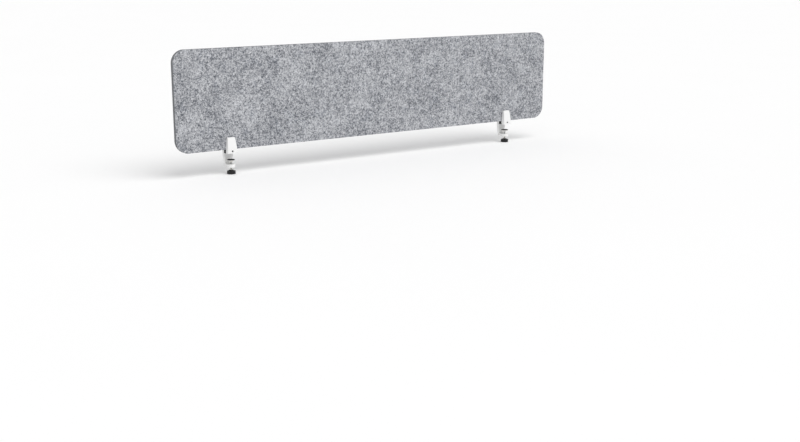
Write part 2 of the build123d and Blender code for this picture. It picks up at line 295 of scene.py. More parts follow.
    def edges(self, radius: float) -> Socket:
        """How near a sharp edge lies, by the turn between the true and the softened normal.

        Args:
            radius: Reach of the softening, in metres.

        Returns:
            0 on a flat face, towards 1 at an edge.
        """
        bevel = self.tree.nodes.new("ShaderNodeBevel")
        bevel.samples = EDGE_SAMPLES
        bevel.inputs["Radius"].default_value = radius
        geometry = self.tree.nodes.new("ShaderNodeNewGeometry")
        turn = self.tree.nodes.new("ShaderNodeVectorMath")
        turn.operation = "DOT_PRODUCT"
        self.put(turn.inputs[0], bevel.outputs["Normal"])
        self.put(turn.inputs[1], geometry.outputs["Normal"])
        return self.span(turn.outputs["Value"], FLAT_COSINE, EDGE_COSINE)

    def bump(self, height: Socket, distance: float, strength: float = 1.0,
             below: Socket | None = None) -> Socket:
        """Relief from a height.

        Args:
            height: Height, 0 to 1.
            distance: Metres that a height of 1 stands for.
            strength: How much of it shows.
            below: A normal to add it to.

        Returns:
            The normal output.
        """
        node = self.tree.nodes.new("ShaderNodeBump")
        node.inputs["Strength"].default_value = strength
        node.inputs["Distance"].default_value = distance
        self.put(node.inputs["Height"], height)
        if below is not None:
            self.put(node.inputs["Normal"], below)
        return node.outputs["Normal"]

    def shade(self, **values: Socket | float | Colour) -> bpy.types.Material:
        """Feed the shader.

        Args:
            **values: Shader inputs, with underscores for spaces.

        Returns:
            The finished material.
        """
        for name, value in values.items():
            self.put(self.shader.inputs[name.replace("_", " ")], value)
        return self.material


# --- Finishes ------------------------------------------------------------------------------
def grey(value: float, warmth: float = 0.0) -> Colour:
    """A grey that leans warm or, below zero, cool."""
    return (value * (1 + warmth), value, value * (1 - warmth), 1.0)


@dataclass(frozen=True)
class Finish(ABC):
    """One surface finish, made into a material once."""

    name: str

    @abstractmethod
    def material(self) -> bpy.types.Material:
        """Build the material."""


@dataclass(frozen=True)
class HardwareFinish(Finish):
    """A finish of the clamps, picked by its material slot."""

    slot: Slot


@dataclass(frozen=True)
class Strands:
    """One layer of felt strands of one thickness, which cross at several angles."""

    length: float  # millimetres
    width: float
    angles: tuple[float, ...]
    bare: float  # noise level below which no strand shows
    full: float  # and above which one shows fully

    def lay(self, sheet: NodeSheet, at: Socket, density: Socket) -> Socket:
        """Add the layer.

        Args:
            sheet: The node sheet to add to.
            at: Warped coordinates, which curl the strands.
            density: Added to the noise level, so that strands gather where it is high.

        Returns:
            0 between strands, 1 on them.
        """
        along = 1.0 / (self.length * MM)
        across = 1.0 / (self.width * MM)
        top: Socket | float = 0.0
        for angle in self.angles:
            lane = sheet.stretched((along, across, across), (0.0, angle, 0.0), at)
            top = sheet.arithmetic("MAXIMUM", sheet.noise(1.0, 1.0, 0.5, 0.0, lane), top)
        return sheet.span(sheet.total(top, density), self.bare, self.full)


@dataclass(frozen=True)
class Mottling:
    """One size of lighter and darker patches in the felt."""

    cells: float  # per metre
    detail: float
    curl: float
    weight: float

    def level(self, sheet: NodeSheet) -> Socket:
        """How much lighter the felt is from place to place, about 0."""
        patches = sheet.noise(self.cells, self.detail, 0.5, self.curl)
        return sheet.scaled(sheet.arithmetic("SUBTRACT", patches, 0.5), self.weight)


@dataclass(frozen=True)
class HeatheredFelt(Finish):
    """Needled polyester felt: light, mid and blue-grey strands lying every way."""

    name: str = "heathered_felt"
    middle: Colour = (0.28, 0.288, 0.31, 1.0)
    dark: Colour = (0.05, 0.059, 0.077, 1.0)
    light: Colour = (0.664, 0.672, 0.7, 1.0)
    blue: Colour = (0.2, 0.23, 0.288, 1.0)
    blue_cells: float = 30.0  # per metre, of the patches that lean to blue
    dark_bundles: Strands = Strands(9.0, 1.9, (26.0, 71.0, 116.0, 160.0), 0.54, 0.78)
    light_bundles: Strands = Strands(9.0, 1.7, (5.0, 47.0, 92.0, 138.0), 0.54, 0.78)
    dark_threads: Strands = Strands(26.0, 0.34, (15.0, 60.0, 106.0, 150.0), 0.61, 0.7)
    light_threads: Strands = Strands(26.0, 0.3, (37.0, 82.0, 127.0, 172.0), 0.61, 0.7)
    bundle_strength: float = 0.95
    thread_strength: float = 0.5
    thread_gathering: float = 0.5  # how much threads follow the mottling, where bundles follow it fully
    mottling: tuple[Mottling, ...] = (
        Mottling(175.0, 1.0, 0.5, 0.44), Mottling(42.0, 2.0, 0.6, 0.18), Mottling(9.0, 2.0, 0.4, 0.13))
    curl_cells: float = 45.0
    curl_reach: float = 14.0 * MM
    fuzz_cells: float = 1700.0
    fuzz_depth: float = 0.12 * MM
    strand_depth: float = 0.3 * MM

    def lightness(self, sheet: NodeSheet) -> Socket:
        """Add up the mottling of every size.

        Args:
            sheet: The node sheet to add to.

        Returns:
            How much lighter the felt is from place to place, about 0.
        """
        value: Socket | float = 0.0
        for patches in self.mottling:
            value = sheet.total(patches.level(sheet), value)
        return value

    def material(self) -> bpy.types.Material:
        """Build the material."""
        sheet = NodeSheet(self.name)
        lighter = self.lightness(sheet)
        darker = sheet.scaled(lighter, -1.0)
        curled = sheet.warped(self.curl_cells, self.curl_reach)
        blue = sheet.span(sheet.noise(self.blue_cells, 2.0, 0.5, 0.8), 0.5, 0.72, 0.0, 0.35)
        colour = sheet.mix(blue, self.middle, self.blue)
        height: Socket | float = 0.0
        bundles, threads, gathering = self.bundle_strength, self.thread_strength, self.thread_gathering
        for strands, tone, density, strength, rise in (
                (self.dark_bundles, self.dark, darker, bundles, 0.3),
                (self.light_bundles, self.light, lighter, bundles, 0.5),
                (self.dark_threads, self.dark, sheet.scaled(darker, gathering), threads, 0.2),
                (self.light_threads, self.light, sheet.scaled(lighter, gathering), threads, 0.25)):
            layer = strands.lay(sheet, curled, density)
            colour = sheet.mix(sheet.scaled(layer, strength), colour, tone)
            height = sheet.total(sheet.scaled(layer, rise), height)
        fuzz = sheet.bump(sheet.noise(self.fuzz_cells, 2.0, 0.7, 1.0), self.fuzz_depth, 0.6)
        return sheet.shade(Base_Color=colour, Roughness=0.96, Specular_IOR_Level=0.15,
                           Sheen_Weight=0.25, Sheen_Roughness=0.6,
                           Normal=sheet.bump(height, self.strand_depth, 0.8, fuzz))


@dataclass(frozen=True)
class CutFeltEdge(Finish):
    """The felt's cut rim, where the needled layers show, painted darker all round as shade for a rim that
    faces away from the light.
    """

    name: str = "cut_felt_rim_painted_shade"
    # both tones are kept low as painted shade, laid over the real layering on every rim alike
    dark: Colour = (0.05, 0.055, 0.066, 1.0)
    light: Colour = (0.25, 0.257, 0.272, 1.0)
    layer_cells: tuple[float, float, float] = (70.0, 900.0, 70.0)  # flat layers, stacked front to back
    layer_weight: float = 0.7
    tuft_cells: float = 260.0
    depth: float = 0.5 * MM

    def material(self) -> bpy.types.Material:
        """Build the material."""
        sheet = NodeSheet(self.name)
        layers = sheet.noise(1.0, 3.0, 0.6, 0.8, sheet.stretched(self.layer_cells))
        tufts = sheet.noise(self.tuft_cells, 2.0, 0.6, 1.0)
        value = sheet.total(sheet.scaled(layers, self.layer_weight),
                            sheet.scaled(tufts, 1.0 - self.layer_weight))
        colour = sheet.mix(sheet.span(value, 0.34, 0.66), self.dark, self.light)
        return sheet.shade(Base_Color=colour, Roughness=0.95, Specular_IOR_Level=0.15,
                           Sheen_Weight=0.15, Sheen_Roughness=0.6,
                           Normal=sheet.bump(value, self.depth, 0.8))


@dataclass(frozen=True)
class PowderCoat(HardwareFinish):
    """White powder coat with a fine orange-peel skin, thinner and glossier at the edges."""

    name: str = "white_powder_coat"
    slot: Slot = Slot.COAT
    colour: Colour = (0.872, 0.874, 0.868, 1.0)
    thin: Colour = (0.8, 0.803, 0.8, 1.0)
    dull: Colour = grey(0.84, 0.01)
    peel: float = 0.9 * MM
    peel_depth: float = 0.05 * MM
    edge_reach: float = 0.8 * MM
    flow_cells: float = 120.0  # per metre, of the drift in gloss
    dull_cells: float = 60.0

    def material(self) -> bpy.types.Material:
        """Build the material."""
        sheet = NodeSheet(self.name)
        skin = sheet.noise(1.0 / self.peel, 2.0, 0.5, 0.3)
        edge = sheet.edges(self.edge_reach)
        colour = sheet.mix(sheet.scaled(edge, 0.35), self.colour, self.thin)
        dulled = sheet.span(sheet.noise(self.dull_cells, 3.0, 0.6), 0.45, 0.75, 0.0, 0.35)
        colour = sheet.mix(dulled, colour, self.dull)
        rough = sheet.span(sheet.noise(self.flow_cells, 2.0, 0.5), 0.3, 0.7, 0.36, 0.46)
        rough = sheet.arithmetic("SUBTRACT", rough, sheet.scaled(edge, 0.08))
        return sheet.shade(Base_Color=colour, Roughness=rough, Coat_Weight=0.12, Coat_Roughness=0.3,
                           Normal=sheet.bump(skin, self.peel_depth, 0.6))


@dataclass(frozen=True)
class MouldedPlastic(HardwareFinish):
    """Black moulded nylon with a spark-eroded skin that rubs grey along its edges."""

    name: str = "black_moulded_plastic"
    slot: Slot = Slot.PLASTIC
    colour: Colour = (0.012, 0.012, 0.013, 1.0)
    rubbed: Colour = (0.06, 0.06, 0.062, 1.0)
    spark_cells: float = 2400.0
    spark_depth: float = 0.06 * MM
    handling_cells: float = 180.0
    edge_reach: float = 0.7 * MM

    def material(self) -> bpy.types.Material:
        """Build the material."""
        sheet = NodeSheet(self.name)
        spark = sheet.noise(self.spark_cells, 2.0, 0.6)
        handling = sheet.noise(self.handling_cells, 3.0, 0.6)
        worn = sheet.scaled(sheet.edges(self.edge_reach), sheet.span(handling, 0.35, 0.65))
        colour = sheet.mix(sheet.scaled(worn, 0.6), self.colour, self.rubbed)
        rough = sheet.span(handling, 0.3, 0.7, 0.44, 0.6)
        return sheet.shade(Base_Color=colour, Roughness=rough, Specular_IOR_Level=0.35,
                           Normal=sheet.bump(spark, self.spark_depth, 0.7))


@dataclass(frozen=True)
class Rubber(HardwareFinish):
    """Black rubber, matt and a little dusty."""

    name: str = "black_rubber"
    slot: Slot = Slot.RUBBER
    colour: Colour = (0.017, 0.017, 0.018, 1.0)
    dust: Colour = (0.1, 0.098, 0.094, 1.0)
    dust_cells: float = 220.0
    grain_cells: float = 1500.0
    grain_depth: float = 0.08 * MM

    def material(self) -> bpy.types.Material:
        """Build the material."""
        sheet = NodeSheet(self.name)
        grain = sheet.noise(self.grain_cells, 3.0, 0.65)
        dusty = sheet.span(sheet.noise(self.dust_cells, 4.0, 0.7), 0.5, 0.8, 0.0, 0.3)
        colour = sheet.mix(dusty, self.colour, self.dust)
        return sheet.shade(Base_Color=colour, Roughness=sheet.span(grain, 0.3, 0.7, 0.78, 0.92),
                           Specular_IOR_Level=0.3, Normal=sheet.bump(grain, self.grain_depth, 0.7))


@dataclass(frozen=True)
class PlatedSteel(HardwareFinish):
    """Bare or plated steel: a drawn grain, a tint that drifts, and brighter edges."""

    colour: Colour
    tint: Colour
    bright: Colour
    smoothest: float
    roughest: float
    drift_cells: float = 110.0
    grain_cells: tuple[float, float, float] = (2600.0, 2600.0, 260.0)  # drawn out along the upright axis
    grain_depth: float = 0.02 * MM
    edge_reach: float = 0.35 * MM

    def material(self) -> bpy.types.Material:
        """Build the material."""
        sheet = NodeSheet(self.name)
        drift = sheet.span(sheet.noise(self.drift_cells, 3.0, 0.55, 0.5), 0.35, 0.7)
        grain = sheet.noise(1.0, 3.0, 0.6, 0.2, sheet.stretched(self.grain_cells))
        colour = sheet.mix(drift, self.colour, self.tint)
        colour = sheet.mix(sheet.scaled(sheet.edges(self.edge_reach), 0.5), colour, self.bright)
        rough = sheet.span(grain, 0.25, 0.75, self.smoothest, self.roughest)
        return sheet.shade(Base_Color=colour, Metallic=1.0, Roughness=rough,
                           Normal=sheet.bump(grain, self.grain_depth, 0.5))


@dataclass(frozen=True)
class StudioFloor(Finish):
    """Plain pale studio floor."""

    name: str = "pale_studio_floor"
    colour: Colour = (0.975, 0.975, 0.976, 1.0)
    shade: Colour = grey(0.965)
    cloud_cells: float = 1.5

    def material(self) -> bpy.types.Material:
        """Build the material."""
        sheet = NodeSheet(self.name)
        colour = sheet.mix(sheet.noise(self.cloud_cells, 2.0), self.colour, self.shade)
        return sheet.shade(Base_Color=colour, Roughness=0.75, Specular_IOR_Level=0.2)


class FinishSet:
    """Every finish of the panel, each made once."""

    def __init__(self) -> None:
        """Build all materials."""
        self.felt = HeatheredFelt().material()
        self.felt_edge = CutFeltEdge().material()
        self.by_slot = {finish.slot: finish.material() for finish in (
            PowderCoat(),
            MouldedPlastic(),
            Rubber(),
            PlatedSteel("black_oxide_steel", Slot.BLACK_STEEL, grey(0.05, -0.03), grey(0.075, 0.06),
                        grey(0.24), 0.3, 0.46),
            PlatedSteel("bright_zinc_plate", Slot.ZINC, grey(0.6, -0.015), (0.66, 0.635, 0.575, 1.0),
                        grey(0.78), 0.22, 0.4),
            PlatedSteel("phosphated_spring_steel", Slot.SPRING, grey(0.14, 0.03), grey(0.2, 0.05),
                        grey(0.34), 0.4, 0.6),
        )}


# --- Mesh tools ----------------------------------------------------------------------------
def piece_from(mesh: bmesh.types.BMesh, name: str, body: str, node: str,
               materials: Iterable[bpy.types.Material]) -> bpy.types.Object:
    """Turn a finished mesh into a piece that stands for a node of the frame.

    Args:
        mesh: The mesh, which is freed.
        name: The piece's name.
        body: The body that it rides on.
        node: The node that it replaces.
        materials: Its materials, in the order of the faces' indices.

    Returns:
        The piece.
    """
    bmesh.ops.remove_doubles(mesh, verts=mesh.verts, dist=MERGE_DISTANCE)
    bmesh.ops.dissolve_degenerate(mesh, edges=mesh.edges, dist=SLIVER_LENGTH)
    bmesh.ops.recalc_face_normals(mesh, faces=mesh.faces)
    data = bpy.data.meshes.new(name)
    mesh.to_mesh(data)
    mesh.free()
    for material in materials:
        data.materials.append(material)
    piece = bpy.data.objects.new(name, data)
    bpy.context.scene.collection.objects.link(piece)
    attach(piece, body)
    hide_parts(node)
    return piece


def rounded(points: Iterable[ProfilePoint], steps: int = 4) -> list[tuple[float, float]]:
    """Round a profile's corners.

    Args:
        points: Radius, height and corner radius of each corner, in order.
        steps: Segments in each rounded corner.

    Returns:
        Radius and height of each point.
    """
    corners = list(points)
    line = [corners[0][:2]]
    for before, corner, after in zip(corners, corners[1:], corners[2:]):
        here = Vector(corner[:2])
        back = Vector(before[:2]) - here
        ahead = Vector(after[:2]) - here
        radius = min(corner[2], CORNER_SHARE * back.length, CORNER_SHARE * ahead.length)
        if radius <= 0.0:
            line.append(tuple(here))
            continue
        start = here + back.normalized() * radius
        end = here + ahead.normalized() * radius
        for step in range(steps + 1):
            share = step / steps
            point = start * (1 - share) ** 2 + here * 2 * share * (1 - share) + end * share ** 2
            line.append(tuple(point))
    line.append(corners[-1][:2])
    return line


def turned(points: Iterable[ProfilePoint], steps: int,
           shape: Callable[[float, float, float], float] | None = None) -> bmesh.types.BMesh:
    """Turn a profile about the upright axis.

    Args:
        points: The profile, in millimetres, from one end on the axis to the other.
        steps: Segments in the full turn.
        shape: Gives the radius to use for a radius, an angle and a height, in millimetres.

    Returns:
        The mesh, about the upright axis through the origin, in metres.
    """
    mesh = bmesh.new()
    line = [mesh.verts.new((radius * MM, 0.0, height * MM)) for radius, height in rounded(points)]
    wire = [mesh.edges.new(pair) for pair in zip(line, line[1:])]
    bmesh.ops.spin(mesh, geom=line + wire, cent=(0, 0, 0), axis=(0, 0, 1), angle=math.tau, steps=steps,
                   use_merge=True)
    bmesh.ops.remove_doubles(mesh, verts=mesh.verts, dist=MERGE_DISTANCE)
    for vertex in mesh.verts if shape else ():
        radius = math.hypot(vertex.co.x, vertex.co.y)
        if radius > AXIS_RADIUS:
            angle = math.atan2(vertex.co.y, vertex.co.x)
            factor = shape(radius / MM, angle, vertex.co.z / MM) * MM / radius
            vertex.co.x *= factor
            vertex.co.y *= factor
    for face in mesh.faces:
        face.smooth = True
    return mesh


@dataclass(frozen=True)
class Thread:
    """A right-hand thread's ridge, wound round a core."""

    diameter: float  # millimetres
    pitch: float
    steps_per_turn: int = 20
    crest_share: float = 0.16  # of the pitch
    root_share: float = 0.86
    depth_share: float = 0.6134
    crest_gap: float = 0.02  # under the nominal diameter
    root_sink: float = 0.1  # of the depth, into the core

    @property
    def depth(self) -> float:
        """Height of the ridge over the core."""
        return self.depth_share * self.pitch

    @property
    def core_radius(self) -> float:
        """Radius of the rod between the ridges."""
        return self.diameter / 2 - self.depth

    def wind(self, mesh: bmesh.types.BMesh, low: float, high: float) -> None:
        """Add the ridge to a rod about the upright axis.

        Args:
            mesh: The rod's mesh.
            low: Where the ridge starts, in millimetres.
            high: Where it ends.
        """
        turns = (high - low) / self.pitch - 1.0
        steps = round(turns * self.steps_per_turn)
        start = low + self.pitch / 2
        sunk = self.core_radius - self.root_sink * self.depth
        crest = self.diameter / 2 - self.crest_gap
        half_root = self.root_share * self.pitch / 2
        half_crest = self.crest_share * self.pitch / 2
        corners = ((sunk, -half_root), (crest, -half_crest), (crest, half_crest), (sunk, half_root))
        loop = [mesh.verts.new((radius * MM, 0.0, (start + rise) * MM)) for radius, rise in corners]
        face = mesh.faces.new(loop)
        bmesh.ops.spin(mesh, geom=[face], cent=(0, 0, 0), axis=(0, 0, 1),
                       dvec=(0, 0, self.pitch * MM / self.steps_per_turn),
                       angle=steps * math.tau / self.steps_per_turn, steps=steps, use_merge=False)


# --- Panel ---------------------------------------------------------------------------------
@dataclass
class FeltBoard:
    """One of the two felt boards, with a relief on its face and a cut rim."""

    node: str
    name: str
    outwards: float  # -1 where its face looks to the seat, 1 where it looks away
    corner_radius: float = 50.0 * MM
    arris: float = 1.2 * MM
    glued_arris: float = 0.35 * MM
    glue_gap: float = 0.02 * MM
    grid: float = 3.2 * MM
    arris_steps: int = 4
    wall_steps: int = 3
    relief: tuple[tuple[float, float], ...] = ((9.0, 0.10), (21.0, 0.12), (75.0, 0.22))  # wave, depth in mm
    rim_wander: float = 0.25 * MM
    long_wave: float = 14.0 * MM  # of the rim's wander
    short_wave: float = 4.0 * MM
    seed: float = 0.0
    half: Vector = field(init=False)
    centre: Vector = field(init=False)

    def __post_init__(self) -> None:
        """Take the board's box from the frame."""
        low, high = (Vector(corner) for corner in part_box(self.node))
        self.half = (high - low) / 2
        self.centre = (high + low) / 2

    def outward(self, place: Vector) -> Vector:
        """Direction from a place near the rim straight out of the outline.

        Args:
            place: The place, measured from the board's middle.

        Returns:
            A unit vector.
        """
        inner_x = self.half.x - self.corner_radius
        inner_z = self.half.z - self.corner_radius
        near = Vector((min(max(place.x, -inner_x), inner_x), 0, min(max(place.z, -inner_z), inner_z)))
        return (Vector((place.x, 0, place.z)) - near).normalized()

    def face_grid(self, mesh: bmesh.types.BMesh) -> None:
        """Make the face as a fine grid whose corners are drawn in to the outline's radius.

        Args:
            mesh: The board's empty mesh.
        """
        half_x = self.half.x - self.arris
        half_z = self.half.z - self.arris
        radius = self.corner_radius - self.arris
        bmesh.ops.create_grid(mesh, x_segments=round(2 * half_x / self.grid),
                              y_segments=round(2 * half_z / self.grid), size=1.0)
        for vertex in mesh.verts:
            x, z = vertex.co.x * half_x, vertex.co.y * half_z
            u = (abs(x) - half_x + radius) / radius
            v = (abs(z) - half_z + radius) / radius
            if u > 0 and v > 0:
                x = math.copysign(half_x - radius + radius * u * math.sqrt(1 - v * v / 2), x)
                z = math.copysign(half_z - radius + radius * v * math.sqrt(1 - u * u / 2), z)
            vertex.co = (x, self.outwards * self.half.y, z)

    def rim_steps(self) -> list[tuple[float, float]]:
        """Lay out the way from the face round the rim.

        Returns:
            Each step's move outwards and its move into the board.
        """
        bends = [math.radians(90.0 * step / self.arris_steps) for step in range(self.arris_steps + 1)]
        path = [(self.arris * math.sin(bend), self.arris * (1 - math.cos(bend))) for bend in bends]
        thickness = 2 * self.half.y - self.glue_gap
        wall = thickness - self.arris - self.glued_arris
        for step in range(1, self.wall_steps + 1):
            path.append((self.arris, self.arris + wall * step / self.wall_steps))
        path.append((self.arris - self.glued_arris, thickness))
        return [(b[0] - a[0], b[1] - a[1]) for a, b in zip(path, path[1:])]

    def sink(self, place: Vector) -> float:
        """How far the felt's surface lies under its highest fibres.

        Args:
            place: The place, measured from the board's middle.

        Returns:
            The depth there.
        """
        depth = 0.0
        for wave, height in self.relief:
            where = place / (wave * MM) + Vector((self.seed, 0, 0))
            depth += height * MM * (0.5 + 0.5 * noise.noise(where))
        return depth

    def build(self) -> bmesh.types.BMesh:
        """Build the board.

        Returns:
            Its closed mesh.
        """
        mesh = bmesh.new()
        self.face_grid(mesh)
        for face in mesh.faces:
            face.smooth = True
        rim = [edge for edge in mesh.edges if edge.is_boundary]
        for step, (out, inward) in enumerate(self.rim_steps()):
            made = bmesh.ops.extrude_edge_only(mesh, edges=rim)["geom"]
            for vertex in (item for item in made if isinstance(item, bmesh.types.BMVert)):
                vertex.co += self.outward(vertex.co) * out
                vertex.co.y -= self.outwards * inward
            for face in (item for item in made if isinstance(item, bmesh.types.BMFace)):
                face.smooth = True
                face.material_index = int(step >= self.arris_steps - 1)
            rim = [edge for edge in mesh.edges if edge.is_boundary]
        glued = bmesh.ops.contextual_create(mesh, geom=rim)["faces"]
        back = {vertex for face in glued for vertex in face.verts}
        for vertex in mesh.verts:
            if vertex in back:
                continue
            level = abs(vertex.co.y - self.outwards * self.half.y)
            if level < self.arris / 2:
                vertex.co.y -= self.outwards * self.sink(vertex.co)
            if level > 0:
                wander = noise.noise(vertex.co / self.long_wave)
                wander += 0.5 * noise.noise(vertex.co / self.short_wave)
                vertex.co -= self.outward(vertex.co) * self.rim_wander * (0.75 + 0.5 * wander)
        bmesh.ops.translate(mesh, verts=mesh.verts, vec=self.centre)
        return mesh

    def dress(self, finishes: FinishSet) -> bpy.types.Object:
        """Give the board its felt.

        Args:
            finishes: The finishes.

        Returns:
            The piece.
        """
        return piece_from(self.build(), self.name, "panel", self.node,
                          (finishes.felt, finishes.felt_edge))


@dataclass
class Panel:
    """The screen itself: two boards glued back to back."""

    front: str = "front_felt_board"
    rear: str = "rear_felt_board"

    def build(self, finishes: FinishSet) -> list[bpy.types.Object]:
        """Build and dress both boards.

        Args:
            finishes: The finishes.

        Returns:
            The pieces.
        """
        front = FeltBoard(self.front, "front_felt", -1.0, seed=3.0)
        rear = FeltBoard(self.rear, "rear_felt", 1.0, seed=17.0)
        return [board.dress(finishes) for board in (front, rear)]


# --- Clamp hardware ------------------------------------------------------------------------
@dataclass
class Hardware(ABC):
    """A detailed part of one clamp, made in place of its node."""

    side: Side

    @abstractmethod
    def dress(self, finishes: FinishSet) -> bpy.types.Object:
        """Build the part and give it its finish."""

    def named(self, words: str) -> str:
        """A name with the clamp's side before it."""
        return f"{self.side.value}_{words}"

    def box(self, part: str) -> tuple[Vector, Vector]:
        """The low and high corners of one of the clamp's nodes."""
        low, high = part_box(self.named(part))
        return Vector(low), Vector(high)

    def stand(self, mesh: bmesh.types.BMesh, part: str) -> None:
        """Move an upright mesh from the origin to where its node stands.

        Args:
            mesh: The mesh, with its foot at the origin.
            part: The node, without its side.
        """
        low, high = self.box(part)
        centre = (low + high) / 2
        bmesh.ops.translate(mesh, verts=mesh.verts, vec=(centre.x, centre.y, low.z))


@dataclass
class Spindle(Hardware):
    """The clamp screw: a threaded rod with a plain journal for its foot."""

    thread: Thread = Thread(8.0, 1.25)
    journal: float = 6.0
    journal_length: float = 5.7
    groove_depth: float = 0.5
    groove_width: float = 0.7
    tip: float = 0.8
    chamfer: float = 0.8
    collar: float = 0.8  # full diameter between thread and journal
    run_out: float = 0.6
    edge: float = 0.3
    steps: int = 48

    def dress(self, finishes: FinishSet) -> bpy.types.Object:
        """Build the screw with its thread.

        Args:
            finishes: The finishes.

        Returns:
            The piece.
        """
        low, high = self.box("clamp_screw")
        height = (high.z - low.z) / MM
        shoulder = height - self.journal_length
        core, journal = self.thread.core_radius, self.journal / 2
        grooved = journal - self.groove_depth
        groove_top = height - self.tip
        groove_low = groove_top - self.groove_width
        outer = self.thread.diameter / 2
        thread_top = shoulder - self.collar
        mesh = turned((
            (0, 0, 0), (core - self.chamfer, 0, 0), (core, self.chamfer, 0),
            (core, thread_top - self.run_out, 0.1), (outer, thread_top, 0.1),
            (outer, shoulder - self.edge, 0.1), (outer - self.edge, shoulder, 0.05),
            (journal, shoulder, 0.05), (journal, groove_low, 0), (grooved, groove_low, 0),
            (grooved, groove_top, 0), (journal, groove_top, 0), (journal, height - self.edge, 0),
            (journal - self.edge, height, 0), (0, height, 0)), self.steps)
        self.thread.wind(mesh, self.chamfer, thread_top)
        self.stand(mesh, "clamp_screw")
        return piece_from(mesh, self.named("threaded_spindle"), self.named("spindle"),
                          self.named("clamp_screw"), (finishes.by_slot[Slot.ZINC],))


@dataclass
class JawBolt(Hardware):
    """The socket-head bolt that draws the front jaw up."""

    thread: Thread = Thread(4.0, 0.7, steps_per_turn=16)
    head: float = 7.0
    head_height: float = 4.0
    key_width: float = 3.0
    key_depth: float = 2.2
    key_chamfer: float = 0.15
    key_reach: float = 0.6  # of the key's width: only points nearer the axis belong to its socket
    drill_point: float = 0.4
    head_chamfer: float = 0.4
    plain_shank: float = 6.0
    run_out: float = 0.4
    tip_chamfer: float = 0.5
    steps: int = 48

    def hexed(self, radius: float, angle: float, height: float) -> float:
        """Draw the key socket's wall out to a hexagon.

        Args:
            radius: A point's distance from the axis.
            angle: Its angle round the axis.
            height: Its height over the head's face.

        Returns:
            The radius to use.
        """
        if radius > self.key_width * self.key_reach or height > self.key_depth + self.drill_point:
            return radius
        return radius / math.cos((angle % math.radians(60)) - math.radians(30))

    def dress(self, finishes: FinishSet) -> bpy.types.Object:
        """Build the bolt upright, head down, and lay it along its hole.

        Args:
            finishes: The finishes.

        Returns:
            The piece.
        """
        low, high = self.box("jaw_bolt")
        length = (high.y - low.y) / MM
        key, head, shank = self.key_width / 2, self.head / 2, self.thread.diameter / 2
        threaded = self.head_height + self.plain_shank
        core = self.thread.core_radius
        mesh = turned((
            (0, self.key_depth + self.drill_point, 0), (key, self.key_depth, 0),
            (key, self.key_chamfer, 0), (key + self.key_chamfer, 0, 0),
            (head - self.head_chamfer, 0, 0.15), (head, self.head_chamfer, 0.15),
            (head, self.head_height, 0.1), (shank, self.head_height, 0.1), (shank, threaded, 0),
            (core, threaded + self.run_out, 0), (core, length - self.tip_chamfer, 0),
            (core - self.tip_chamfer, length, 0), (0, length, 0)), self.steps, self.hexed)
        self.thread.wind(mesh, threaded, length - self.tip_chamfer)
        move = Matrix.Translation(((low.x + high.x) / 2, low.y, (low.z + high.z) / 2))
        lay = move @ Matrix.Rotation(math.radians(-90), 4, "X")
        bmesh.ops.transform(mesh, matrix=lay, verts=mesh.verts)
        return piece_from(mesh, self.named("socket_bolt"), self.named("bolt"), self.named("jaw_bolt"),
                          (finishes.by_slot[Slot.BLACK_STEEL],))


@dataclass
class Knob(Hardware):
    """The fluted hand knob, with a dished underside and a collar round the screw."""

    collar: float = 18.0
    collar_height: float = 3.0
    bore: float = 8.04
    floor: float = 3.0
    flutes: int = 8
    flute_radius: float = 4.5
    flute_depth: float = 1.8
    flute_softness: float = 0.15
    fade_start: float = 12.0  # radius inside which nothing is fluted
    fade_length: float = 4.0
    dish: float = 22.0
    dish_depth: float = 1.0
    cap: float = 9.0
    cap_sink: float = 0.35
    cap_slope: float = 0.6
    dish_slope: float = 1.2
    collar_foot: float = 0.8
    shoulder_sink: float = 0.15
    bore_chamfer: float = 0.3
    edge: float = 1.4
    steps: int = 192
    outer: float = field(init=False, default=0.0)

    def fluted(self, radius: float, angle: float, height: float) -> float:
        """Press the flutes into the rim, fading out towards the dish.

        Args:
            radius: A point's distance from the axis.
            angle: Its angle round the axis.
            height: Its height, on which the flutes don't depend.

        Returns:
            The radius to use.
        """
        half_pitch = math.pi / self.flutes
        off = (angle + half_pitch) % (2 * half_pitch) - half_pitch
        centre = self.outer - self.flute_depth + self.flute_radius
        reach = self.flute_radius ** 2 - (centre * math.sin(off)) ** 2
        wall = centre * math.cos(off) - math.sqrt(reach) if reach > 0 else self.outer
        cut = max(0.0, self.outer - wall)
        cut = cut * cut / (cut + self.flute_softness) if cut > 0 else 0.0
        fade = min(max((radius - self.fade_start) / self.fade_length, 0.0), 1.0)
        return radius - cut * fade * fade * (3 - 2 * fade)

    def dress(self, finishes: FinishSet) -> bpy.types.Object:
        """Build the knob.

        Args:
            finishes: The finishes.

        Returns:
            The piece.
        """
        low, high = self.box("knob")
        top = (high.z - low.z) / MM
        self.outer = (high.x - low.x) / MM / 2
        shoulder = top - self.collar_height
        dish, cap, collar, bore = self.dish / 2, self.cap / 2, self.collar / 2, self.bore / 2
        mesh = turned((
            (0, self.cap_sink, 0), (cap - self.cap_slope, self.cap_sink, 0.3), (cap, self.dish_depth, 0.2),
            (dish - self.dish_slope, self.dish_depth, 0.6), (dish, 0, 0.5), (self.outer, 0, self.edge),
            (self.outer, shoulder / 2, 0), (self.outer, shoulder, self.edge),
            (collar + self.collar_foot, shoulder - self.shoulder_sink, 0.6), (collar, top, 0.5),
            (bore + self.bore_chamfer, top, 0), (bore, top - self.bore_chamfer, 0),
            (bore, self.floor, 0), (0, self.floor, 0)), self.steps, self.fluted)
        self.stand(mesh, "knob")
        return piece_from(mesh, self.named("fluted_knob"), self.named("spindle"), self.named("knob"),
                          (finishes.by_slot[Slot.PLASTIC],))


